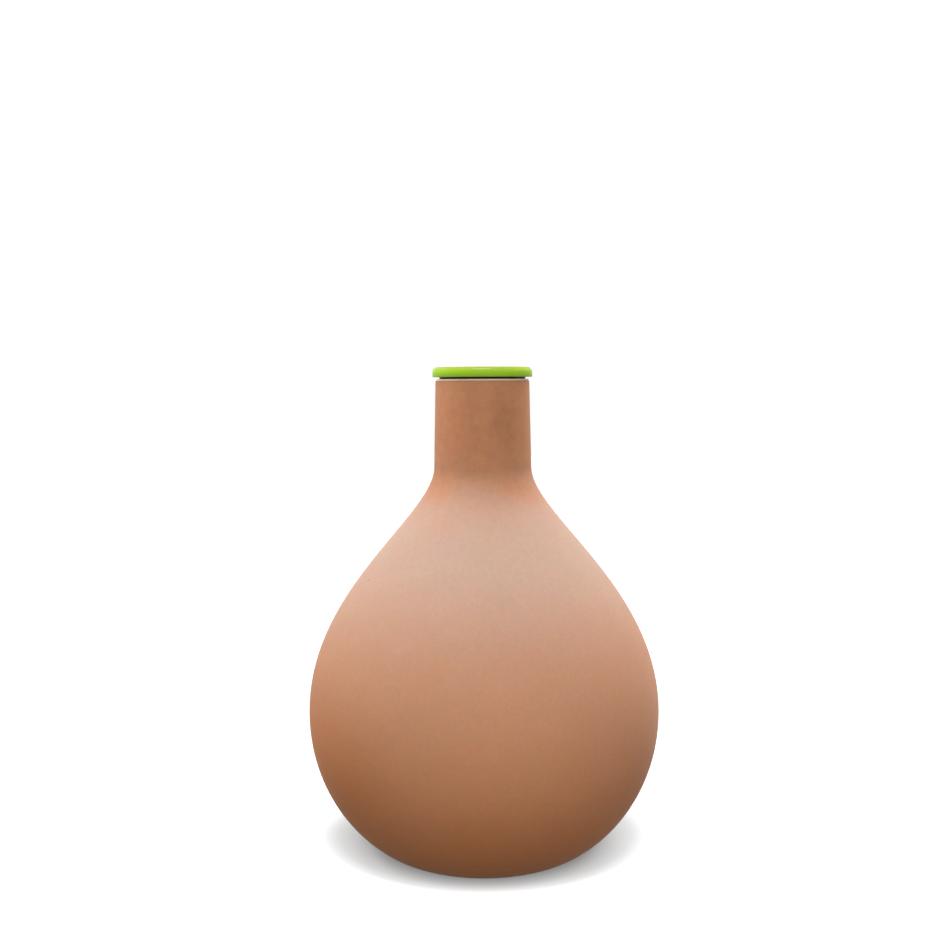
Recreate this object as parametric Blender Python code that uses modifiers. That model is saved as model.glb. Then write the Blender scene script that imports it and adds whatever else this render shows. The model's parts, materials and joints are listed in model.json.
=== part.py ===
"""Irrigation olla: an unglazed clay water jar for burying in a garden bed, with a lift-off lid.

The jar is one thin shell of porous clay with an open neck. The lid is a moulded cap, ribbed
underneath, with a hollow spigot that carries a black rubber seal. Lengths are in metres, +Z
is up, and the origin is the middle of the jar's flat base.
"""
import math

import bpy
from mathutils import Matrix, Vector

# Clay jar, outside
BODY_RADIUS = 0.1000  # at the bulge, the widest place
BULGE_HEIGHT = 0.0828  # from the base to the bulge
SHOULDER_RISE = 0.1386  # from the bulge to the foot of the neck
NECK_LENGTH = 0.0502  # from the foot of the neck to the rim
NECK_FOOT_RADIUS = 0.0277
RIM_RADIUS = 0.0266
BASE_RADIUS = 0.0450  # the flat that the jar stands on

# How far each end of the bowl's and the shoulder's curve keeps its direction
HEEL_REACH = 0.0150  # out along the ground, which sets the soft heel
BOWL_REACH = 0.0540  # down from the bulge
SHOULDER_REACH = 0.0690  # up from the bulge
NECK_REACH = 0.0275  # down from the foot of the neck

# Clay jar, wall and rim
WALL = 0.0070
RIM_ROUND = 0.0018  # outer edge of the rim
MOUTH_ROUND = 0.0012  # inner edge of the rim

# Lid cap
CAP_OVERHANG = 0.0017  # past the rim
CAP_HEIGHT = 0.0056
CAP_PLATE = 0.0020
CAP_ROUND = 0.0027  # upper edge
LIP_WALL = 0.0022
LIP_ROUND = 0.0004  # lower edge of the lip, both sides
LIP_GAP = 0.0010  # open height between the lip and the rim
RIB_COUNT = 24
RIB_WIDTH = 0.0012
RIB_ROOT = 0.0005  # how deep a rib's ends run into the plate, the lip and the spigot

# Hollow spigot under the cap
SPIGOT_DEPTH = 0.0140  # below the rim
SPIGOT_WALL = 0.0018
BEAD_HEIGHT = 0.0018  # the bead that keeps the seal on, at the spigot's end
BEAD_REACH = 0.0009
BEAD_SHOULDER = 0.0004  # height of its short upper slope
BEAD_LAND = 0.0005  # height of its straight part, above the long slope that leads it in
SPIGOT_ROUND = 0.0006  # lower inner edge

# Rubber seal
FLANGE = 0.0014  # thickness of the flange between cap and rim
FLANGE_MARGIN = 0.0003  # from the flange's edge to the rounded edge of the rim
SLEEVE = 0.0012  # thickness of the sleeve on the spigot
FIN_COUNT = 3
FIN_REACH = 0.0013
FIN_ROOT = 0.0016  # height of a fin where it leaves the sleeve
FIN_TIP = 0.0005  # height of a fin at its tip
FIN_LIFT = 0.0006  # how far a fin's tip is bent up, against the way out

FIT = 0.0003  # gap where two pieces touch

# Fineness of the turned shapes
JAR_STEPS = 64
LID_STEPS = 56
SHOULDER_POINTS = 17
BOWL_POINTS = 15
INNER_SHOULDER_POINTS = 12
INNER_BOWL_POINTS = 10
ARC_POINTS = 4
MERGE = 0.00001
SHARP_ANGLE = 35  # degrees between faces from which an edge is shaded sharp
CROWDED = 0.99  # an inner point nearer to the outer wall than this share of WALL is left out

NECK_FOOT_HEIGHT = BULGE_HEIGHT + SHOULDER_RISE
RIM_HEIGHT = NECK_FOOT_HEIGHT + NECK_LENGTH


def bezier(start, start_handle, end_handle, end, count):
    """Points of a cubic Bezier curve, both ends included."""
    points = []
    for i in range(count):
        t = i / (count - 1)
        s = 1.0 - t
        points.append(start * s ** 3 + start_handle * 3 * s * s * t + end_handle * 3 * s * t * t + end * t ** 3)
    return points


def arc(centre_r, centre_z, radius, from_degrees, to_degrees, count=ARC_POINTS):
    """Points of an arc in the profile's plane, both ends included; 0 degrees is outward, 90 up."""
    points = []
    for i in range(count):
        a = math.radians(from_degrees + (to_degrees - from_degrees) * i / (count - 1))
        points.append(Vector((centre_r + radius * math.cos(a), centre_z + radius * math.sin(a))))
    return points


def new_material(name, colour, roughness):
    """A Principled material in one colour, given as linear RGB."""
    material = bpy.data.materials.new(name)
    material.use_nodes = True
    shader = material.node_tree.nodes["Principled BSDF"]
    shader.inputs["Base Color"].default_value = (*colour, 1.0)
    shader.inputs["Roughness"].default_value = roughness
    shader.inputs["Metallic"].default_value = 0.0
    material.diffuse_color = (*colour, 1.0)
    return material


def new_collection(name):
    """An empty collection in the scene."""
    collection = bpy.data.collections.new(name)
    bpy.context.scene.collection.children.link(collection)
    return collection


def turned(name, profile, closed, steps, collection):
    """A profile, as (radius, height) points running down its outer side, turned about +Z."""
    mesh = bpy.data.meshes.new(name)
    edges = [(i, i + 1) for i in range(len(profile) - 1)]
    if closed:
        edges.append((len(profile) - 1, 0))
    mesh.from_pydata([(p.x, 0.0, p.y) for p in profile], edges, [])
    piece = bpy.data.objects.new(name, mesh)
    collection.objects.link(piece)
    screw = piece.modifiers.new("turn", "SCREW")
    screw.axis = "Z"
    screw.angle = 2 * math.pi
    screw.steps = steps
    screw.render_steps = steps
    screw.use_merge_vertices = True
    screw.merge_threshold = MERGE
    return piece


def settle(piece, material):
    """Turns a piece's modifiers into its mesh, shades it smooth but for its edges, and colours it."""
    graph = bpy.context.evaluated_depsgraph_get()
    mesh = bpy.data.meshes.new_from_object(piece.evaluated_get(graph))
    piece.modifiers.clear()
    old = piece.data
    piece.data = mesh
    mesh.name = piece.name
    bpy.data.meshes.remove(old)
    mesh.shade_smooth()
    mesh.set_sharp_from_angle(angle=math.radians(SHARP_ANGLE))
    mesh.materials.clear()
    mesh.materials.append(material)


def jar_wall(shoulder_points, bowl_points):
    """The jar's outer wall as if its rim were square: down the neck and bowl, then in along the base."""
    rim = Vector((RIM_RADIUS, RIM_HEIGHT))
    neck_foot = Vector((NECK_FOOT_RADIUS, NECK_FOOT_HEIGHT))
    bulge = Vector((BODY_RADIUS, BULGE_HEIGHT))
    heel = Vector((BASE_RADIUS, 0.0))
    along_neck = (neck_foot - rim).normalized()
    up = Vector((0.0, 1.0))
    outward = Vector((1.0, 0.0))
    neck = [rim, rim.lerp(neck_foot, 0.5)]
    shoulder = bezier(neck_foot, neck_foot + along_neck * NECK_REACH,
                      bulge + up * SHOULDER_REACH, bulge, shoulder_points)
    bowl = bezier(bulge, bulge - up * BOWL_REACH, heel + outward * HEEL_REACH, heel, bowl_points)
    return neck + shoulder + bowl[1:] + [Vector((0.0, 0.0))]


def inset(points, distance):
    """The points moved inward, square to their line, leaving out those that would crowd a tight bend."""
    moved = []
    for i, point in enumerate(points):
        before = points[max(i - 1, 0)]
        after = points[min(i + 1, len(points) - 1)]
        along = (after - before).normalized()
        moved.append(point + Vector((along.y, -along.x)) * distance)
    moved[-1] = Vector((0.0, distance))
    return [m for m in moved if min((m - p).length for p in points) > distance * CROWDED]


def bore_radius(depth):
    """Radius of the neck's bore at a depth below the rim."""
    outside = RIM_RADIUS + (NECK_FOOT_RADIUS - RIM_RADIUS) * depth / NECK_LENGTH
    return outside - WALL


MOUTH_RADIUS = bore_radius(0.0)
PLUG_RADIUS = min(MOUTH_RADIUS, bore_radius(SPIGOT_DEPTH)) - FIT  # over the seal's fins
SLEEVE_RADIUS = PLUG_RADIUS - FIN_REACH
SPIGOT_RADIUS = SLEEVE_RADIUS - SLEEVE - FIT
CAP_RADIUS = RIM_RADIUS + CAP_OVERHANG
FLANGE_RADIUS = RIM_RADIUS - RIM_ROUND - FLANGE_MARGIN

LIP_BOTTOM = RIM_HEIGHT + LIP_GAP
CAP_TOP = LIP_BOTTOM + CAP_HEIGHT
PLATE_BOTTOM = CAP_TOP - CAP_PLATE
FLANGE_BOTTOM = RIM_HEIGHT + FIT
FLANGE_TOP = FLANGE_BOTTOM + FLANGE
RIB_BOTTOM = FLANGE_TOP + FIT
SPIGOT_BOTTOM = RIM_HEIGHT - SPIGOT_DEPTH
BEAD_TOP = SPIGOT_BOTTOM + BEAD_HEIGHT
SLEEVE_BOTTOM = BEAD_TOP + FIT


def make_clay_body(collection):
    """The jar: one shell of even wall, cast hollow and open at the rim, standing on its flat base."""
    outer = jar_wall(SHOULDER_POINTS, BOWL_POINTS)
    rim_outer = arc(RIM_RADIUS - RIM_ROUND, RIM_HEIGHT - RIM_ROUND, RIM_ROUND, 90, 0)
    rim_inner = arc(MOUTH_RADIUS + MOUTH_ROUND, RIM_HEIGHT - MOUTH_ROUND, MOUTH_ROUND, 180, 90)
    inner = inset(jar_wall(INNER_SHOULDER_POINTS, INNER_BOWL_POINTS), WALL)
    inner = [p for p in inner if p.y < RIM_HEIGHT - 2 * MOUTH_ROUND]
    profile = inner[::-1] + rim_inner + rim_outer + outer[1:]
    body = turned("clay_body", profile, False, JAR_STEPS, collection)
    settle(body, new_material("terracotta", (0.52, 0.24, 0.13), 0.9))
    return body


def cap_profile():
    """The lid cap's section, from the middle of its top to the middle of the hollow's ceiling."""
    lip_inner = CAP_RADIUS - LIP_WALL
    bead_radius = SPIGOT_RADIUS + BEAD_REACH
    land_top = BEAD_TOP - BEAD_SHOULDER
    spigot_inner = SPIGOT_RADIUS - SPIGOT_WALL
    profile = [Vector((0.0, CAP_TOP))]
    profile += arc(CAP_RADIUS - CAP_ROUND, CAP_TOP - CAP_ROUND, CAP_ROUND, 90, 0, 6)
    profile += arc(CAP_RADIUS - LIP_ROUND, LIP_BOTTOM + LIP_ROUND, LIP_ROUND, 0, -90, 3)
    profile += arc(lip_inner + LIP_ROUND, LIP_BOTTOM + LIP_ROUND, LIP_ROUND, -90, -180, 3)
    profile += [Vector((lip_inner, PLATE_BOTTOM)), Vector((SPIGOT_RADIUS, PLATE_BOTTOM))]
    profile += [Vector((SPIGOT_RADIUS, BEAD_TOP)), Vector((bead_radius, land_top))]
    profile += [Vector((bead_radius, land_top - BEAD_LAND)), Vector((SPIGOT_RADIUS, SPIGOT_BOTTOM))]
    profile += arc(spigot_inner + SPIGOT_ROUND, SPIGOT_BOTTOM + SPIGOT_ROUND, SPIGOT_ROUND, -90, -180, 3)
    profile += [Vector((spigot_inner, PLATE_BOTTOM)), Vector((0.0, PLATE_BOTTOM))]
    return profile


def make_ribs(collection):
    """Radial ribs for the ring-shaped channel under the cap, as one set of bars about the axis."""
    inner = SPIGOT_RADIUS - RIB_ROOT
    outer = CAP_RADIUS - LIP_WALL + RIB_ROOT
    height = PLATE_BOTTOM + RIB_ROOT - RIB_BOTTOM
    bpy.ops.mesh.primitive_cube_add(size=1.0)
    bar = bpy.context.object
    place = Matrix.Translation(((inner + outer) / 2, 0.0, RIB_BOTTOM + height / 2))
    bar.data.transform(place @ Matrix.Diagonal((outer - inner, RIB_WIDTH, height, 1.0)))
    bars = [bar]
    for i in range(1, RIB_COUNT):
        copy = bar.copy()
        copy.data = bar.data.copy()
        copy.data.transform(Matrix.Rotation(2 * math.pi * i / RIB_COUNT, 4, "Z"))
        bpy.context.scene.collection.objects.link(copy)
        bars.append(copy)
    for each in bars:
        each.select_set(True)
    bpy.ops.object.join()
    ribs = bpy.context.object
    ribs.name = "cap_ribs"
    for owner in list(ribs.users_collection):
        owner.objects.unlink(ribs)
    collection.objects.link(ribs)
    ribs.hide_render = True
    ribs.display_type = "WIRE"
    return ribs


def make_lid_cap(collection, cutters):
    """The lid's moulded cap: plate, outer lip, hollow spigot with its bead, and ribs between them."""
    cap = turned("lid_cap", cap_profile(), False, LID_STEPS, collection)
    join = cap.modifiers.new("ribs", "BOOLEAN")
    join.operation = "UNION"
    join.solver = "EXACT"
    join.object = make_ribs(cutters)
    settle(cap, new_material("green_plastic", (0.26, 0.50, 0.03), 0.4))
    return cap


def seal_profile():
    """The rubber seal's section: the flange, then the sleeve's finned outside, then its bore."""
    bore = SPIGOT_RADIUS + FIT
    profile = arc(FLANGE_RADIUS - FLANGE / 2, FLANGE_BOTTOM + FLANGE / 2, FLANGE / 2, 90, -90, 5)
    profile.append(Vector((SLEEVE_RADIUS, FLANGE_BOTTOM)))
    pitch = (FLANGE_BOTTOM - SLEEVE_BOTTOM) / FIN_COUNT
    for i in range(FIN_COUNT):
        middle = FLANGE_BOTTOM - pitch * (i + 0.5)
        tip = middle + FIN_LIFT
        profile.append(Vector((SLEEVE_RADIUS, middle + FIN_ROOT / 2)))
        profile.append(Vector((PLUG_RADIUS, tip + FIN_TIP / 2)))
        profile.append(Vector((PLUG_RADIUS, tip - FIN_TIP / 2)))
        profile.append(Vector((SLEEVE_RADIUS, middle - FIN_ROOT / 2)))
    profile += [Vector((SLEEVE_RADIUS, SLEEVE_BOTTOM)), Vector((bore, SLEEVE_BOTTOM)), Vector((bore, FLANGE_TOP))]
    return profile


def make_lid_seal(collection):
    """The seal: black rubber, a flange that lies on the rim and fins that press on the neck's bore."""
    seal = turned("lid_seal", seal_profile(), True, LID_STEPS, collection)
    settle(seal, new_material("black_rubber", (0.012, 0.014, 0.012), 0.6))
    return seal


for leftover in list(bpy.data.objects):
    bpy.data.objects.remove(leftover, do_unlink=True)

olla = new_collection("irrigation_olla")
cutters = new_collection("cutters")

make_clay_body(olla)

# The lid lifts straight up along the jar's axis, so its parts hang from an empty there.
lid = bpy.data.objects.new("lid", None)
lid.location = (0.0, 0.0, RIM_HEIGHT)
olla.objects.link(lid)
for piece in (make_lid_cap(olla, cutters), make_lid_seal(olla)):
    piece.parent = lid
    piece.matrix_parent_inverse = Matrix.Translation((0.0, 0.0, -RIM_HEIGHT))
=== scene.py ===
import math

import bmesh
import bpy
from mathutils import Matrix, Vector
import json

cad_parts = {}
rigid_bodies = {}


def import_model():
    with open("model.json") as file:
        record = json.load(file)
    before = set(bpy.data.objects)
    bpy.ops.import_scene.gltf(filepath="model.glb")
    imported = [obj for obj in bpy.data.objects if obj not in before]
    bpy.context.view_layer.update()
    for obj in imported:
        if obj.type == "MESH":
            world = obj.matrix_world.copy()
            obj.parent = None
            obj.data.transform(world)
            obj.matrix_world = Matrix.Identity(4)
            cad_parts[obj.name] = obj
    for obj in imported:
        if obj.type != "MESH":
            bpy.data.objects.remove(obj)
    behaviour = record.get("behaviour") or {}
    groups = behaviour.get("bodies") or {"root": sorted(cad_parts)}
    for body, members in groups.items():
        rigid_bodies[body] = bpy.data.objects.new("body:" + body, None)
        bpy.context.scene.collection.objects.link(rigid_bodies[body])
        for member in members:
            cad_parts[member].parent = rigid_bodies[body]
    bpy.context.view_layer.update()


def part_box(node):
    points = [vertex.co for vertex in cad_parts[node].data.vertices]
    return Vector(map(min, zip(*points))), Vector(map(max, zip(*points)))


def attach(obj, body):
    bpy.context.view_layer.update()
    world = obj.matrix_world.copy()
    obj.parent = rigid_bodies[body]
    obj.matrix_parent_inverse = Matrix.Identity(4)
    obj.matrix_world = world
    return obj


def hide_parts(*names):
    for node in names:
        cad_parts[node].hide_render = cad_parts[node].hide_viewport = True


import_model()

# The jar is unglazed red clay, slip-cast in one piece with an even wall about 7 mm thick and
# fired porous, so that water seeps out through it. The bowl runs up through one long shoulder
# into a straight neck with a plain, softly rounded rim, and its base is a flat disc.


def leave_all():
    """Deselects every object, so that an operator acts on the next piece alone."""
    for each in bpy.context.view_layer.objects:
        each.select_set(False)


def pick(piece, kind, wanted):
    """In edit mode, selects just the vertices, edges or faces whose place the test accepts.

    The test is given a middle's distance from the jar's axis, its height, and the part itself.
    """
    bpy.ops.mesh.select_mode(type=kind)
    bpy.ops.mesh.select_all(action="DESELECT")
    shape = bmesh.from_edit_mesh(piece.data)
    for part in {"VERT": shape.verts, "EDGE": shape.edges, "FACE": shape.faces}[kind]:
        corners = [part.co] if kind == "VERT" else [v.co for v in part.verts]
        middle = sum(corners, Vector()) / len(corners)
        if wanted(math.hypot(middle.x, middle.y), middle.z, part):
            part.select_set(True)
    bmesh.update_edit_mesh(piece.data)


def grow_ring(piece, radius, height):
    """Extrudes the selected ring or disc, and gives the new one its own radius and height."""
    shape = bmesh.from_edit_mesh(piece.data)
    corner = max((v.co for v in shape.verts if v.select), key=lambda co: math.hypot(co.x, co.y))
    wider = radius / math.hypot(corner.x, corner.y)
    up = height - corner.z
    bpy.ops.mesh.extrude_region_move(TRANSFORM_OT_translate={"value": (0.0, 0.0, up)})
    bpy.ops.transform.resize(value=(wider, wider, 1.0), center_override=(0.0, 0.0, height))


def near(a, b, within=0.00005):
    """Whether two lengths agree to a twentieth of a millimetre, or to what is given."""
    return abs(a - b) < within


jar_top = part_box("clay_body")[1]
BODY_RADIUS = jar_top.x
RIM_HEIGHT = jar_top.z
NECK_LENGTH = 0.0502
RIM_RADIUS = 0.0266
NECK_FOOT_RADIUS = 0.0277
NECK_FOOT_HEIGHT = RIM_HEIGHT - NECK_LENGTH
BULGE_HEIGHT = 0.0828
BASE_RADIUS = 0.0450
NECK_REACH = 0.0275  # how far the shoulder's curve keeps the neck's direction
SHOULDER_REACH = 0.0690  # and how far it rises straight from the bulge
BOWL_REACH = 0.0540  # how far the bowl falls straight from the bulge
HEEL_REACH = 0.0150  # and how far it runs flat out of the base
BASE_INSET = 0.0010  # a narrow ring round the base's disc keeps its shading flat
WALL = 0.0070
MOUTH_RADIUS = RIM_RADIUS - WALL
RIM_ROUND = 0.0018
MOUTH_ROUND = 0.0012
RIM_ROUND_STEPS = 6
RIM_SLANT = 0.0005  # the thickened wall's top slants by less than this
RIM_EDGE_WITHIN = 0.0003  # how closely the rim's two edges keep to their radius
TURNS = 240  # steps round the jar
CURVE_STEPS = 36  # steps along the shoulder, and along the bowl
MERGE = 0.00001  # corners closer together than this become one
SHARP_ANGLE = math.radians(35)  # faces that meet more sharply are shaded with an edge

# The half outline, from the foot of the neck over the bulge to the edge of the base
leave_all()
bpy.ops.curve.primitive_bezier_curve_add()
jar = bpy.context.object
jar.name = "terracotta_jar"
jar.data.resolution_u = CURVE_STEPS
outline = jar.data.splines[0].bezier_points
outline.add(1)
along_neck = Vector((NECK_FOOT_RADIUS - RIM_RADIUS, 0.0, -NECK_LENGTH)).normalized()
neck_foot = Vector((NECK_FOOT_RADIUS, 0.0, NECK_FOOT_HEIGHT))
bulge = Vector((BODY_RADIUS, 0.0, BULGE_HEIGHT))
heel = Vector((BASE_RADIUS, 0.0, 0.0))
places = (
    (neck_foot, neck_foot - along_neck * NECK_REACH, neck_foot + along_neck * NECK_REACH),
    (bulge, bulge + Vector((0.0, 0.0, SHOULDER_REACH)), bulge - Vector((0.0, 0.0, BOWL_REACH))),
    (heel, heel + Vector((HEEL_REACH, 0.0, 0.0)), heel - Vector((HEEL_REACH, 0.0, 0.0))),
)
for point, (place, before, after) in zip(outline, places):
    point.handle_left_type = "FREE"
    point.handle_right_type = "FREE"
    point.co = place
    point.handle_left = before
    point.handle_right = after
bpy.ops.object.convert(target="MESH")

# Spun about the axis, with the neck drawn up from its foot and the base filled in
bpy.ops.object.mode_set(mode="EDIT")
bpy.ops.mesh.select_all(action="SELECT")
bpy.ops.mesh.spin(steps=TURNS, angle=math.tau, center=(0.0, 0.0, 0.0), axis=(0.0, 0.0, 1.0))
bpy.ops.mesh.select_all(action="SELECT")
bpy.ops.mesh.remove_doubles(threshold=MERGE)
pick(jar, "EDGE", lambda radius, height, edge: near(height, NECK_FOOT_HEIGHT))
grow_ring(jar, RIM_RADIUS, RIM_HEIGHT)
pick(jar, "EDGE", lambda radius, height, edge: near(height, 0.0))
bpy.ops.mesh.edge_face_add()
bpy.ops.mesh.inset(thickness=BASE_INSET)
bpy.ops.mesh.select_all(action="SELECT")
bpy.ops.mesh.normals_make_consistent(inside=False)
bpy.ops.object.mode_set(mode="OBJECT")

wall = jar.modifiers.new("wall", "SOLIDIFY")
wall.thickness = WALL
wall.offset = -1.0
wall.use_even_offset = True
bpy.ops.object.modifier_apply(modifier="wall")

# The rim is levelled, and both its edges are rounded
bpy.ops.object.mode_set(mode="EDIT")
pick(jar, "VERT", lambda radius, height, corner: height > RIM_HEIGHT - RIM_SLANT)
bpy.ops.transform.resize(value=(1.0, 1.0, 0.0), center_override=(0.0, 0.0, RIM_HEIGHT))
for edge_radius, rounding in ((RIM_RADIUS, RIM_ROUND), (MOUTH_RADIUS, MOUTH_ROUND)):
    pick(jar, "EDGE", lambda radius, height, edge: near(height, RIM_HEIGHT)
         and near(radius, edge_radius, RIM_EDGE_WITHIN))
    bpy.ops.mesh.bevel(offset=rounding, offset_type="OFFSET", segments=RIM_ROUND_STEPS, profile=0.5)
bpy.ops.object.mode_set(mode="OBJECT")
bpy.ops.object.shade_smooth_by_angle(angle=SHARP_ANGLE)


def linear(code):
    """The linear RGBA colour of an sRGB hex code."""
    parts = [int(code[i:i + 2], 16) / 255 for i in (1, 3, 5)]
    return [c / 12.92 if c <= 0.04045 else ((c + 0.055) / 1.055) ** 2.4 for c in parts] + [1.0]


def add_node(material, kind, settings, inputs):
    """Adds a node with its settings. An input is a value, or another node's output to link."""
    node = material.node_tree.nodes.new(kind)
    for name, value in settings.items():
        setattr(node, name, value)
    for socket, value in inputs.items():
        if isinstance(value, bpy.types.NodeSocket):
            material.node_tree.links.new(value, node.inputs[socket])
        else:
            node.inputs[socket].default_value = value
    return node


# Fired earthenware, slip-cast and left unglazed: matt and dry, with a fine sandy grain in slightly
# different reds and the faintest cloudy patches from the drying. A paler, pinker tone is painted on
# by height as painted light from above: lightest on the shoulder, less low down, and less again low
# on the left, where it leaves painted shade. Painted shade makes the neck a little browner and
# mottled, and darker on its right, with one paler patch; a painted highlight makes the lip pale.
# A pinhole, where air lay against the mould, is drawn as a dot of painted shade.
CLAY = "#BC6C28"
# The pale colour below is painted light from above, laid on the clay
CLAY_PAINTED_LIGHT = "#B0AAA3"
# The colour below is a painted highlight on the rim's edge
CLAY_LIP_HIGHLIGHT = "#F6DFCE"
CLAY_SHEEN = "#F6EEE8"
# Share of the painted light at each height: most on the shoulder, which faces the light above
PAINTED_LIGHT_BY_HEIGHT = ((0.000, 0.04), (0.040, 0.18), (0.085, 0.28), (0.125, 0.36), (0.150, 0.51),
                   (0.175, 0.62), (0.200, 0.55), (0.214, 0.28), (0.240, 0.22), (0.272, 0.25))
PAINTED_LIGHT_TOP = RIM_HEIGHT + 0.001  # the ramp ends here, just past its last stop
PAINTED_LIGHT_DRIFT = 0.010  # how far the cloudy patches carry the painted light up or down
LEFT_SHADE_MIDDLE = (-0.105, -0.020, 0.055)  # middle of the part low on the left with less painted light, which leaves painted shade
LEFT_SHADE_SIZE = (0.085, 0.160, 0.080)
LEFT_SHADE_KEEPS = 0.35  # the share of the painted light that is left in its middle
NECK_PAINTED_SHADE_LOW = 0.196  # the neck's browner painted shade fades in between these heights
NECK_PAINTED_SHADE_HIGH = 0.224
# How much painted shade darkens the neck, and how far the mottle varies it
NECK_PAINTED_SHADE = 0.16
NECK_MOTTLE = 0.11
MOTTLE = 0.005
PATCH = 0.018  # width of the cloudy patches
FLECK = 0.0030  # width of the flecks
GRAIN = 0.0009  # the sand is 0.2 to 0.5 mm, drawn at 0.9 mm so that it shows
GRAIN_SHADE = 0.07  # how far the grain lightens and darkens the clay
GRAIN_HEIGHT = 0.0001
TONE_SPREADS = ((GRAIN, 0.13), (FLECK, 0.17), (PATCH, 0.08))  # how far each sets colours apart
CLAY_SMOOTHEST = 0.7
CLAY_ROUGHEST = 0.8
LIP = 0.0012  # depth of the painted highlight on the lip
LIP_INWARD = 0.25  # how much of the painted highlight the rim keeps inside its outer edge
# Middle, reach, and how light the clay is there: painted shade over the right of the neck, a
# darker band of it, its streak, the paler patch, and the pinhole drawn as a dot of painted shade
PAINTED_SHADES_AND_MARKS = (
    ((0.0080, -0.0258, 0.2460), (0.0300, 0.0200, 0.0460), 0.94),
    ((0.0110, -0.0247, 0.2500), (0.0120, 0.0120, 0.0240), 0.89),
    ((0.0148, -0.0227, 0.2450), (0.0035, 0.0035, 0.0130), 0.94),
    ((0.0005, -0.0271, 0.2480), (0.0070, 0.0070, 0.0070), 1.06),
    ((-0.0632, -0.0286, 0.1613), (0.0009, 0.0009, 0.0009), 0.15))

clay = bpy.data.materials.new("unglazed_slip_cast_terracotta")
clay.use_nodes = True
shader = clay.node_tree.nodes["Principled BSDF"]
place = add_node(clay, "ShaderNodeTexCoord", {}, {}).outputs["Object"]
height = add_node(clay, "ShaderNodeSeparateXYZ", {}, {"Vector": place}).outputs["Z"]
patches = add_node(clay, "ShaderNodeTexNoise", {}, {
    "Vector": place, "Scale": 1 / PATCH, "Detail": 3.0, "Roughness": 0.5})
drift = add_node(clay, "ShaderNodeMapRange", {}, {
    "Value": patches.outputs["Fac"], "To Min": -PAINTED_LIGHT_DRIFT, "To Max": PAINTED_LIGHT_DRIFT})
drifted = add_node(clay, "ShaderNodeMath", {"operation": "ADD"}, {
    0: height, 1: drift.outputs["Result"]})
rise = add_node(clay, "ShaderNodeMapRange", {}, {
    "Value": drifted.outputs["Value"], "From Max": PAINTED_LIGHT_TOP})
painted_light = add_node(clay, "ShaderNodeValToRGB", {}, {"Fac": rise.outputs["Result"]})
painted_light.color_ramp.interpolation = "B_SPLINE"
while len(painted_light.color_ramp.elements) < len(PAINTED_LIGHT_BY_HEIGHT):
    painted_light.color_ramp.elements.new(0.5)
for stop, (at, share) in zip(painted_light.color_ramp.elements, PAINTED_LIGHT_BY_HEIGHT):
    stop.position = at / PAINTED_LIGHT_TOP
    stop.color = (share, share, share, 1.0)
# Less painted light low on the left leaves painted shade there
from_left_shade = add_node(clay, "ShaderNodeVectorMath", {"operation": "SUBTRACT"}, {0: place, 1: LEFT_SHADE_MIDDLE})
in_left_shade = add_node(clay, "ShaderNodeVectorMath", {"operation": "DIVIDE"}, {
    0: from_left_shade.outputs["Vector"], 1: LEFT_SHADE_SIZE})
left_shade_reach = add_node(clay, "ShaderNodeVectorMath", {"operation": "LENGTH"}, {
    0: in_left_shade.outputs["Vector"]})
kept = add_node(clay, "ShaderNodeMapRange", {"interpolation_type": "SMOOTHSTEP"}, {
    "Value": left_shade_reach.outputs["Value"], "To Min": LEFT_SHADE_KEEPS})
painted_light_left = add_node(clay, "ShaderNodeMath", {"operation": "MULTIPLY"}, {
    0: painted_light.outputs["Color"], 1: kept.outputs["Result"]})
painted_lit_clay = add_node(clay, "ShaderNodeMix", {"data_type": "RGBA"}, {
    0: painted_light_left.outputs["Value"], 6: linear(CLAY), 7: linear(CLAY_PAINTED_LIGHT)})

# The grain, the flecks and the patches each shade the three colours a little apart
tones = painted_lit_clay.outputs[2]
for width, spread in TONE_SPREADS:
    darkest = 1 - spread / 2
    noise = add_node(clay, "ShaderNodeTexNoise", {}, {
        "Vector": place, "Scale": 1 / width, "Detail": 2.0})
    tint = add_node(clay, "ShaderNodeVectorMath", {"operation": "MULTIPLY_ADD"}, {
        0: noise.outputs["Color"], 1: (spread, spread, spread), 2: (darkest, darkest, darkest)})
    tones = add_node(clay, "ShaderNodeVectorMath", {"operation": "MULTIPLY"}, {
        0: tones, 1: tint.outputs["Vector"]}).outputs["Vector"]

# The grain also shades them together, and painted shade makes the neck browner and mottled
sand = add_node(clay, "ShaderNodeTexNoise", {}, {
    "Vector": place, "Scale": 1 / GRAIN, "Detail": 2.0, "Roughness": 0.6})
grained = add_node(clay, "ShaderNodeMapRange", {}, {
    "Value": sand.outputs["Fac"], "To Min": 1.0 - GRAIN_SHADE, "To Max": 1.0 + GRAIN_SHADE})
mottle = add_node(clay, "ShaderNodeTexNoise", {}, {
    "Vector": place, "Scale": 1 / MOTTLE, "Detail": 3.0})
neck_shade_mottled = add_node(clay, "ShaderNodeMapRange", {}, {
    "Value": mottle.outputs["Fac"],
    "To Min": NECK_PAINTED_SHADE - NECK_MOTTLE, "To Max": NECK_PAINTED_SHADE + NECK_MOTTLE})
on_neck = add_node(clay, "ShaderNodeMapRange", {"interpolation_type": "SMOOTHSTEP"}, {
    "Value": height, "From Min": NECK_PAINTED_SHADE_LOW, "From Max": NECK_PAINTED_SHADE_HIGH})
neck_shade_depth = add_node(clay, "ShaderNodeMath", {"operation": "MULTIPLY"}, {
    0: on_neck.outputs["Result"], 1: neck_shade_mottled.outputs["Result"]})
neck_shade_factor = add_node(clay, "ShaderNodeMath", {"operation": "SUBTRACT"}, {
    0: 1.0, 1: neck_shade_depth.outputs["Value"]})
shade = add_node(clay, "ShaderNodeMath", {"operation": "MULTIPLY"}, {
    0: grained.outputs["Result"], 1: neck_shade_factor.outputs["Value"]})
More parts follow.
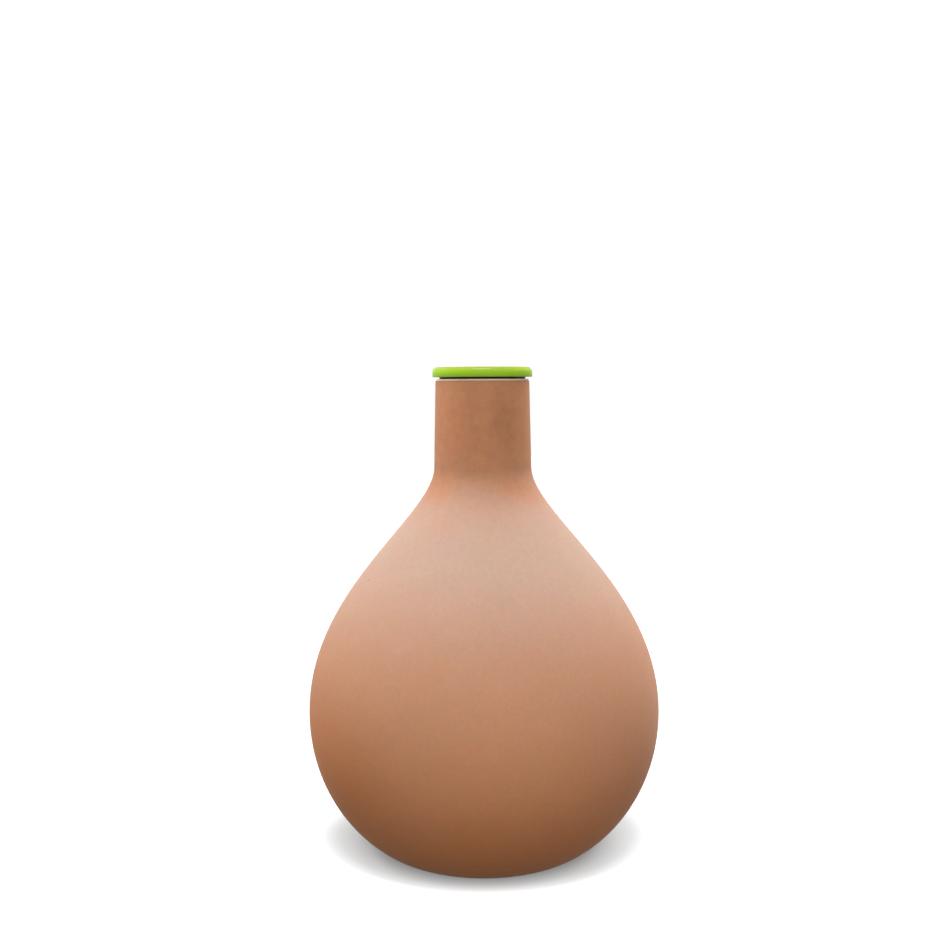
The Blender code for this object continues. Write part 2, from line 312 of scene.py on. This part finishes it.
for middle, reach, light in PAINTED_SHADES_AND_MARKS:
    from_spot = add_node(clay, "ShaderNodeVectorMath", {"operation": "SUBTRACT"}, {
        0: place, 1: middle})
    in_reaches = add_node(clay, "ShaderNodeVectorMath", {"operation": "DIVIDE"}, {
        0: from_spot.outputs["Vector"], 1: reach})
    away = add_node(clay, "ShaderNodeVectorMath", {"operation": "LENGTH"}, {
        0: in_reaches.outputs["Vector"]})
    spot = add_node(clay, "ShaderNodeMapRange", {"interpolation_type": "SMOOTHSTEP"}, {
        "Value": away.outputs["Value"], "To Min": light, "To Max": 1.0})
    shade = add_node(clay, "ShaderNodeMath", {"operation": "MULTIPLY"}, {
        0: shade.outputs["Value"], 1: spot.outputs["Result"]})
shaded = add_node(clay, "ShaderNodeVectorMath", {"operation": "SCALE"}, {
    0: tones, "Scale": shade.outputs["Value"]})

# A highlight is painted on the lip, palest on the rim's outer rounded edge
lip = add_node(clay, "ShaderNodeMapRange", {"interpolation_type": "SMOOTHSTEP"}, {
    "Value": height, "From Min": RIM_HEIGHT - LIP, "From Max": RIM_HEIGHT - LIP / 2})
across = add_node(clay, "ShaderNodeVectorMath", {"operation": "MULTIPLY"}, {
    0: place, 1: (1.0, 1.0, 0.0)})
from_axis = add_node(clay, "ShaderNodeVectorMath", {"operation": "LENGTH"}, {
    0: across.outputs["Vector"]})
outer = add_node(clay, "ShaderNodeMapRange", {"interpolation_type": "SMOOTHSTEP"}, {
    "Value": from_axis.outputs["Value"], "To Min": LIP_INWARD,
    "From Min": RIM_RADIUS - RIM_ROUND - LIP, "From Max": RIM_RADIUS - RIM_ROUND})
rim_highlight = add_node(clay, "ShaderNodeMath", {"operation": "MULTIPLY"}, {
    0: lip.outputs["Result"], 1: outer.outputs["Result"]})
rim_highlighted = add_node(clay, "ShaderNodeMix", {"data_type": "RGBA"}, {
    0: rim_highlight.outputs["Value"], 6: shaded.outputs["Vector"], 7: linear(CLAY_LIP_HIGHLIGHT)})
clay.node_tree.links.new(rim_highlighted.outputs[2], shader.inputs["Base Color"])
dryness = add_node(clay, "ShaderNodeMapRange", {}, {
    "Value": patches.outputs["Fac"], "To Min": CLAY_SMOOTHEST, "To Max": CLAY_ROUGHEST})
clay.node_tree.links.new(dryness.outputs["Result"], shader.inputs["Roughness"])
bump = add_node(clay, "ShaderNodeBump", {}, {
    "Height": sand.outputs["Fac"], "Strength": 0.3, "Distance": GRAIN_HEIGHT})
clay.node_tree.links.new(bump.outputs["Normal"], shader.inputs["Normal"])
shader.inputs["Specular IOR Level"].default_value = 0.05
shader.inputs["Sheen Weight"].default_value = 0.11
shader.inputs["Sheen Roughness"].default_value = 0.5
shader.inputs["Sheen Tint"].default_value = linear(CLAY_SHEEN)

jar.data.materials.clear()
jar.data.materials.append(clay)
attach(jar, "root")
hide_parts("clay_body")

# The lid's cap is green plastic, injection-moulded in one piece, and lifts straight out. Its lip
# hangs just over the rim. Underneath, thin ribs cross the channel between the lip and a hollow
# spigot, which ends in a bead that keeps the seal on.
CAP_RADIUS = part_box("lid_cap")[1].x
CAP_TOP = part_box("lid_cap")[1].z
CAP_ROUND = 0.0027  # upper edge
CAP_ROUND_STEPS = 10
CAP_PLATE = 0.0020  # thickness of the flat top
PLATE_BOTTOM = CAP_TOP - CAP_PLATE
PLATE_INSET = 0.0004  # a narrow ring round the flat top keeps its shading flat
LIP_GAP = 0.0010  # open height between the lip and the rim
LIP_BOTTOM = RIM_HEIGHT + LIP_GAP
LIP_WALL = 0.0022
LIP_RADIUS = CAP_RADIUS - LIP_WALL  # inside the lip
LIP_ROUND = 0.0004
SPIGOT_RADIUS = 0.0165
SPIGOT_WALL = 0.0018
SPIGOT_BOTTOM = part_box("lid_cap")[0].z
SPIGOT_ROUND = 0.0006
HOLLOW_RADIUS = SPIGOT_RADIUS - SPIGOT_WALL
EDGE_ROUND_STEPS = 3
CAP_EDGE_WITHIN = 0.0001  # how closely each edge that is rounded keeps to its radius
BEAD_REACH = 0.0009
BEAD_HEIGHT = 0.0018
BEAD_RADIUS = SPIGOT_RADIUS + BEAD_REACH
BEAD_TOP = SPIGOT_BOTTOM + BEAD_HEIGHT
BEAD_SHOULDER = 0.0004  # height of its short upper slope
BEAD_LAND = 0.0005  # height of its straight part, above the slope that leads it in
RIBS = 24
RIB_LIFT = 0.0010  # the ribs end this far above the lip, where the flange fits in
RIB_BOTTOM = LIP_BOTTOM + RIB_LIFT
FACES_PER_RIB = 6  # one of them is the rib, the others are the pocket beside it
LEVEL = 0.9  # a face counts as level where its normal points up or down by more than this

leave_all()
bpy.ops.mesh.primitive_cylinder_add(
    vertices=RIBS * FACES_PER_RIB, radius=CAP_RADIUS, depth=CAP_TOP - LIP_BOTTOM,
    location=(0.0, 0.0, (CAP_TOP + LIP_BOTTOM) / 2))
cap = bpy.context.object
cap.name = "green_lid_cap"
bpy.ops.object.transform_apply(location=True, rotation=True, scale=True)
bpy.ops.object.mode_set(mode="EDIT")

# Inside the lip the disc goes up to the ribs' lower edges, and the spigot comes down from it
pick(cap, "FACE", lambda radius, height, face: near(height, LIP_BOTTOM))
bead_land_top = BEAD_TOP - BEAD_SHOULDER
for radius, height in (
        (LIP_RADIUS, LIP_BOTTOM), (LIP_RADIUS, RIB_BOTTOM), (SPIGOT_RADIUS, RIB_BOTTOM),
        (SPIGOT_RADIUS, BEAD_TOP), (BEAD_RADIUS, bead_land_top),
        (BEAD_RADIUS, bead_land_top - BEAD_LAND), (SPIGOT_RADIUS, SPIGOT_BOTTOM),
        (HOLLOW_RADIUS, SPIGOT_BOTTOM), (HOLLOW_RADIUS, PLATE_BOTTOM)):
    grow_ring(cap, radius, height)


def in_pocket(radius, height, face):
    """Whether a face belongs to the channel's floor, and isn't the one in six that is a rib."""
    if not near(height, RIB_BOTTOM) or abs(face.normal.z) < LEVEL or radius > LIP_RADIUS:
        return False
    middle = face.calc_center_median()
    step = math.atan2(middle.y, middle.x) / math.tau * RIBS * FACES_PER_RIB
    return math.floor(step) % FACES_PER_RIB != 0


# The pockets between the ribs are pushed up to the plate, all at once
pick(cap, "FACE", in_pocket)
pocket_depth = PLATE_BOTTOM - RIB_BOTTOM
bpy.ops.mesh.extrude_region_move(TRANSFORM_OT_translate={"value": (0.0, 0.0, pocket_depth)})

# The moulding's edges are rounded, the upper one widely
for edge_radius, edge_height, rounding, steps in (
        (CAP_RADIUS, CAP_TOP, CAP_ROUND, CAP_ROUND_STEPS),
        (CAP_RADIUS, LIP_BOTTOM, LIP_ROUND, EDGE_ROUND_STEPS),
        (LIP_RADIUS, LIP_BOTTOM, LIP_ROUND, EDGE_ROUND_STEPS),
        (HOLLOW_RADIUS, SPIGOT_BOTTOM, SPIGOT_ROUND, EDGE_ROUND_STEPS)):
    pick(cap, "EDGE", lambda radius, height, edge: near(height, edge_height)
         and near(radius, edge_radius, CAP_EDGE_WITHIN))
    bpy.ops.mesh.bevel(offset=rounding, offset_type="OFFSET", segments=steps, profile=0.5)
pick(cap, "FACE", lambda radius, height, face: near(height, CAP_TOP) and len(face.verts) > 4)
bpy.ops.mesh.inset(thickness=PLATE_INSET)
bpy.ops.mesh.select_all(action="SELECT")
bpy.ops.mesh.normals_make_consistent(inside=False)
bpy.ops.object.mode_set(mode="OBJECT")
bpy.ops.object.shade_smooth_by_angle(angle=SHARP_ANGLE)

# Polypropylene, injection-moulded in a finely sparked mould: a soft waxy sheen over a full
# green, with a very fine leathery grain and the faintest flow clouds. Its green is painted by
# height up the lip: a painted highlight round the lip's shoulder, and painted shade over the
# seal and on the plate.
# The green at each share of the lip's height, with painted highlight and painted shade in it
GREEN_PAINTED_UP_LIP = ((0.16, "#88AD2B"), (0.55, "#98BF2F"), (0.78, "#96B531"), (1.0, "#869D24"))
FLOW = 0.02  # how far the flow clouds lighten and darken it
FLOW_WIDTH = 0.015
MOULD_GRAIN = 0.0006  # the mould's spark grain is 0.1 to 0.3 mm, drawn coarser so that it shows
MOULD_GRAIN_HEIGHT = 0.00005
PLASTIC_SMOOTHEST = 0.30
PLASTIC_ROUGHEST = 0.38

plastic = bpy.data.materials.new("moulded_polypropylene")
plastic.use_nodes = True
shader = plastic.node_tree.nodes["Principled BSDF"]
place = add_node(plastic, "ShaderNodeTexCoord", {}, {}).outputs["Object"]
height = add_node(plastic, "ShaderNodeSeparateXYZ", {}, {"Vector": place}).outputs["Z"]
rise = add_node(plastic, "ShaderNodeMapRange", {}, {
    "Value": height, "From Min": LIP_BOTTOM, "From Max": CAP_TOP})
green_painted_by_height = add_node(plastic, "ShaderNodeValToRGB", {}, {"Fac": rise.outputs["Result"]})
while len(green_painted_by_height.color_ramp.elements) < len(GREEN_PAINTED_UP_LIP):
    green_painted_by_height.color_ramp.elements.new(0.5)
for stop, (at, green) in zip(green_painted_by_height.color_ramp.elements, GREEN_PAINTED_UP_LIP):
    stop.position = at
    stop.color = linear(green)
flow = add_node(plastic, "ShaderNodeTexNoise", {}, {
    "Vector": place, "Scale": 1 / FLOW_WIDTH, "Detail": 2.0})
clouds = add_node(plastic, "ShaderNodeMapRange", {}, {
    "Value": flow.outputs["Fac"], "To Min": 1.0 - FLOW, "To Max": 1.0 + FLOW})
clouded = add_node(plastic, "ShaderNodeVectorMath", {"operation": "SCALE"}, {
    0: green_painted_by_height.outputs["Color"], "Scale": clouds.outputs["Result"]})
plastic.node_tree.links.new(clouded.outputs["Vector"], shader.inputs["Base Color"])
spark = add_node(plastic, "ShaderNodeTexNoise", {}, {
    "Vector": place, "Scale": 1 / MOULD_GRAIN, "Detail": 2.0})
sheen = add_node(plastic, "ShaderNodeMapRange", {}, {
    "Value": spark.outputs["Fac"], "To Min": PLASTIC_SMOOTHEST, "To Max": PLASTIC_ROUGHEST})
plastic.node_tree.links.new(sheen.outputs["Result"], shader.inputs["Roughness"])
bump = add_node(plastic, "ShaderNodeBump", {}, {
    "Height": spark.outputs["Fac"], "Strength": 0.1, "Distance": MOULD_GRAIN_HEIGHT})
plastic.node_tree.links.new(bump.outputs["Normal"], shader.inputs["Normal"])
shader.inputs["IOR"].default_value = 1.49
shader.inputs["Specular IOR Level"].default_value = 0.05

cap.data.materials.clear()
cap.data.materials.append(plastic)
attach(cap, "lid")
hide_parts("lid_cap")

# The seal is black rubber, moulded in one piece and stretched over the spigot. Its flange lies
# between the cap and the rim, where its edge shows as a dark line. Its three soft fins, drawn
# here unpressed, face the neck's bore.
SEAT = 0.00003  # the flange stops this short of the rim and of the ribs, so no faces coincide
FLANGE_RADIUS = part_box("lid_seal")[1].x
FLANGE_BOTTOM = RIM_HEIGHT + SEAT
FLANGE_TOP = RIB_BOTTOM - SEAT
FLANGE_ROUND = 0.0007
SEAL_SLACK = 0.0001  # between the sleeve and the spigot
SEAL_BORE = SPIGOT_RADIUS + SEAL_SLACK
BORE_WITHIN = 0.00001  # how closely the bore's edges keep to its radius
SLEEVE_RADIUS = 0.0180
SLEEVE_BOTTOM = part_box("lid_seal")[0].z
SLEEVE_ROUND = 0.0002
FINS = 3
FIN_RADIUS = 0.0193
FIN_ROOT = 0.0008  # half the fin's height where it leaves the sleeve
FIN_LIFT = 0.0006  # how far the tip is bent up
TIP_ROUND = 0.0002
TIP_SHOULDER = 0.00027  # half the tip's height where its rounding starts
TIP_EDGE = 0.0001  # and where it ends
SEAL_TURNS = 144

leave_all()
bpy.ops.mesh.primitive_circle_add(
    vertices=SEAL_TURNS, radius=SEAL_BORE, location=(0.0, 0.0, FLANGE_TOP))
seal = bpy.context.object
seal.name = "black_rubber_seal"
bpy.ops.object.transform_apply(location=True, rotation=True, scale=True)
bpy.ops.object.mode_set(mode="EDIT")
pick(seal, "EDGE", lambda radius, height, edge: True)
rings = []
flange_half = (FLANGE_TOP - FLANGE_BOTTOM) / 2
for turn in range(90, -91, -30):
    rings.append((FLANGE_RADIUS - FLANGE_ROUND + FLANGE_ROUND * math.cos(math.radians(turn)),
                  FLANGE_BOTTOM + flange_half + flange_half * math.sin(math.radians(turn))))
rings.append((SLEEVE_RADIUS, FLANGE_BOTTOM))
fin_pitch = (FLANGE_BOTTOM - SLEEVE_BOTTOM) / FINS
for i in range(FINS):
    root = FLANGE_BOTTOM - fin_pitch * (i + 0.5)
    tip = root + FIN_LIFT
    rings += [(SLEEVE_RADIUS, root + FIN_ROOT),
              (FIN_RADIUS - TIP_ROUND, tip + TIP_SHOULDER), (FIN_RADIUS, tip + TIP_EDGE),
              (FIN_RADIUS, tip - TIP_EDGE), (FIN_RADIUS - TIP_ROUND, tip - TIP_SHOULDER),
              (SLEEVE_RADIUS, root - FIN_ROOT)]
rings += [(SLEEVE_RADIUS, SLEEVE_BOTTOM + SLEEVE_ROUND),
          (SLEEVE_RADIUS - SLEEVE_ROUND, SLEEVE_BOTTOM), (SEAL_BORE, SLEEVE_BOTTOM)]
for radius, height in rings:
    grow_ring(seal, radius, height)
pick(seal, "EDGE", lambda radius, height, edge: near(radius, SEAL_BORE, BORE_WITHIN)
     and (near(height, FLANGE_TOP) or near(height, SLEEVE_BOTTOM)))
bpy.ops.mesh.bridge_edge_loops()
bpy.ops.mesh.select_all(action="SELECT")
bpy.ops.mesh.normals_make_consistent(inside=False)
bpy.ops.object.mode_set(mode="OBJECT")
bpy.ops.object.shade_smooth_by_angle(angle=SHARP_ANGLE)

# Black nitrile rubber, moulded: dark and satin, with a dusty bloom and a fine matt grain.
RUBBER = "#111311"
RUBBER_DUST = "#1B1D1B"
DUST = 0.004  # width of the dusty bloom's clouds
SKIN = 0.0005  # width of the matt grain
SKIN_HEIGHT = 0.00005
RUBBER_SMOOTHEST = 0.5
RUBBER_ROUGHEST = 0.65

rubber = bpy.data.materials.new("moulded_black_rubber")
rubber.use_nodes = True
shader = rubber.node_tree.nodes["Principled BSDF"]
place = add_node(rubber, "ShaderNodeTexCoord", {}, {}).outputs["Object"]
dust = add_node(rubber, "ShaderNodeTexNoise", {}, {
    "Vector": place, "Scale": 1 / DUST, "Detail": 3.0})
dusted = add_node(rubber, "ShaderNodeMix", {"data_type": "RGBA"}, {
    0: dust.outputs["Fac"], 6: linear(RUBBER), 7: linear(RUBBER_DUST)})
rubber.node_tree.links.new(dusted.outputs[2], shader.inputs["Base Color"])
satin = add_node(rubber, "ShaderNodeMapRange", {}, {
    "Value": dust.outputs["Fac"], "To Min": RUBBER_SMOOTHEST, "To Max": RUBBER_ROUGHEST})
rubber.node_tree.links.new(satin.outputs["Result"], shader.inputs["Roughness"])
skin = add_node(rubber, "ShaderNodeTexNoise", {}, {
    "Vector": place, "Scale": 1 / SKIN, "Detail": 2.0})
bump = add_node(rubber, "ShaderNodeBump", {}, {
    "Height": skin.outputs["Fac"], "Strength": 0.15, "Distance": SKIN_HEIGHT})
rubber.node_tree.links.new(bump.outputs["Normal"], shader.inputs["Normal"])
shader.inputs["Specular IOR Level"].default_value = 0.2

seal.data.materials.clear()
seal.data.materials.append(rubber)
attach(seal, "lid")
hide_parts("lid_seal")

# The studio is a white sweep with white all round it. A wide reflector and a small softbox light
# the jar from the front, a strip its neck from the left, and a softbox and a strip its back from
# the right. One more softbox shows only in gloss, as the highlight on the lid.
FLOOR_SIZE = 8.0

leave_all()
bpy.ops.mesh.primitive_plane_add(size=FLOOR_SIZE, location=(0.0, 0.0, 0.0))
floor = bpy.context.object
floor.name = "studio_floor"


def seen_outright(material):
    """An output that is 1 on rays from the camera, off gloss or through glass, and 0 on others."""
    ray = add_node(material, "ShaderNodeLightPath", {}, {})
    seen = add_node(material, "ShaderNodeMath", {"operation": "MAXIMUM"}, {
        0: ray.outputs["Is Camera Ray"], 1: ray.outputs["Is Glossy Ray"]})
    seen = add_node(material, "ShaderNodeMath", {"operation": "MAXIMUM"}, {
        0: seen.outputs["Value"], 1: ray.outputs["Is Transmission Ray"]})
    return seen.outputs["Value"]


# Matt white paper. It keeps the jar's soft shadow from the lamps, and its glow is dimmed near
# the jar into a painted shadow, darkest under the heel. It is pure white away from the jar, but
# throws next to no light back up at the clay.
PAPER_LIT = 0.02  # how pale it is to light that bounces on to the jar
PAPER_SEEN = 0.25  # and to the camera, under its own glow
SHADOW_MIDDLE = (0.0, 0.031, 0.0)  # middle of the painted shadow, behind the jar
SHADOW_RADIUS = 0.101
# How much glow the paper keeps at each distance from that middle; below 1 it is painted shadow
GLOW_OUTWARD_PAINTED_SHADOW = ((0.060, 0.05), (0.0765, 0.35), (0.088, 0.52), (0.0955, 0.72), (0.101, 1.0))
CONTACT_SHADOW_REACH = 0.020  # how far the darkest painted shadow reaches out from the base
CONTACT_SHADOW_GLOW = 0.5  # the share of the glow that is left at the base, where the painted shadow is darkest

paper = bpy.data.materials.new("matt_white_paper")
paper.use_nodes = True
shader = paper.node_tree.nodes["Principled BSDF"]
shader.inputs["Roughness"].default_value = 1.0
shader.inputs["Specular IOR Level"].default_value = 0.0
paper_seen = seen_outright(paper)
white = add_node(paper, "ShaderNodeMapRange", {}, {
    "Value": paper_seen, "To Min": PAPER_LIT, "To Max": PAPER_SEEN})
paper.node_tree.links.new(white.outputs["Result"], shader.inputs["Base Color"])
place = add_node(paper, "ShaderNodeTexCoord", {}, {}).outputs["Object"]
away = add_node(paper, "ShaderNodeVectorMath", {"operation": "DISTANCE"}, {
    0: place, 1: SHADOW_MIDDLE})
outward = add_node(paper, "ShaderNodeMapRange", {}, {
    "Value": away.outputs["Value"], "From Max": SHADOW_RADIUS})
painted_shadow_ramp = add_node(paper, "ShaderNodeValToRGB", {}, {"Fac": outward.outputs["Result"]})
while len(painted_shadow_ramp.color_ramp.elements) < len(GLOW_OUTWARD_PAINTED_SHADOW):
    painted_shadow_ramp.color_ramp.elements.new(0.5)
for stop, (at, share) in zip(painted_shadow_ramp.color_ramp.elements, GLOW_OUTWARD_PAINTED_SHADOW):
    stop.position = at / SHADOW_RADIUS
    stop.color = (share, share, share, 1.0)
from_foot = add_node(paper, "ShaderNodeVectorMath", {"operation": "LENGTH"}, {0: place})
painted_contact_shadow = add_node(paper, "ShaderNodeMapRange", {}, {
    "Value": from_foot.outputs["Value"], "To Min": CONTACT_SHADOW_GLOW,
    "From Min": BASE_RADIUS, "From Max": BASE_RADIUS + CONTACT_SHADOW_REACH})
glow = add_node(paper, "ShaderNodeMath", {"operation": "MULTIPLY"}, {
    0: painted_shadow_ramp.outputs["Color"], 1: painted_contact_shadow.outputs["Result"]})
glow = add_node(paper, "ShaderNodeMath", {"operation": "MULTIPLY"}, {
    0: glow.outputs["Value"], 1: paper_seen})
shader.inputs["Emission Color"].default_value = (1.0, 1.0, 1.0, 1.0)
paper.node_tree.links.new(glow.outputs["Value"], shader.inputs["Emission Strength"])
floor.data.materials.append(paper)

# The white all round gives the jar an even light a little below the white that is seen
ROOM_LIT = 0.82
ROOM_SEEN = 1.0

world = bpy.data.worlds.new("white_studio")
bpy.context.scene.world = world
world.use_nodes = True
level = add_node(world, "ShaderNodeMapRange", {}, {
    "Value": seen_outright(world), "To Min": ROOM_LIT, "To Max": ROOM_SEEN})
background = world.node_tree.nodes["Background"]
background.inputs["Color"].default_value = (1.0, 1.0, 1.0, 1.0)
world.node_tree.links.new(level.outputs["Result"], background.inputs["Strength"])

# Each lamp's power, width, height and place, what it is aimed at, and whether it shows in gloss
# in place of giving light
MIDDLE = Vector((0.0, 0.0, 0.14))
NECK = Vector((0.0, 0.0, 0.24))
for name, power, width, height, place, aim, in_gloss in (
        ("overhead_softbox", 5.1, 0.5, 0.3, (0.0, -0.75, 1.35), MIDDLE, False),
        ("lid_highlight", 52.0, 0.5, 0.25, (0.0, -0.45, 1.35), NECK, True),
        ("front_reflector", 16.5, 2.4, 0.6, (0.0, -2.0, 0.55), MIDDLE, False),
        ("left_strip", 1.15, 0.15, 0.3, (-0.32, 0.08, 0.42), NECK, False),
        ("right_back_strip", 2.1, 0.3, 0.5, (0.35, 0.35, 0.6), MIDDLE, False),
        ("right_back_softbox", 12.1, 0.8, 1.2, (0.8, 0.8, 1.3), MIDDLE, False)):
    leave_all()
    bpy.ops.object.light_add(type="AREA", location=place)
    lamp = bpy.context.object
    lamp.name = name
    lamp.data.shape = "RECTANGLE"
    lamp.data.size = width
    lamp.data.size_y = height
    lamp.data.energy = power
    lamp.rotation_euler = (aim - Vector(place)).to_track_quat("-Z", "Y").to_euler()
    lamp.visible_camera = False
    lamp.visible_glossy = in_gloss
    lamp.visible_diffuse = not in_gloss

# The camera stands level with the top of the neck, 0.73 m away, and looks slightly down. Its
# angles are in degrees.
CAMERA_DISTANCE = 0.733
CAMERA_HEIGHT = 0.2688
LOOK_LEFT = 0.348
LOOK_DOWN = 4.048
LEAN = -0.3
LENS = 48.83  # millimetres, for a sensor 36 mm wide
SENSOR = 36.0

leave_all()
bpy.ops.object.camera_add(location=(0.0, -CAMERA_DISTANCE, CAMERA_HEIGHT))
camera = bpy.context.object
turn = Matrix.Rotation(math.radians(LOOK_LEFT), 3, "Z")
tilt = Matrix.Rotation(math.radians(90.0 - LOOK_DOWN), 3, "X")
roll = Matrix.Rotation(math.radians(LEAN), 3, "Z")
camera.rotation_euler = (turn @ tilt @ roll).to_euler()
camera.data.lens = LENS
camera.data.sensor_width = SENSOR
bpy.context.scene.camera = camera

bpy.context.scene.view_settings.view_transform = "Standard"
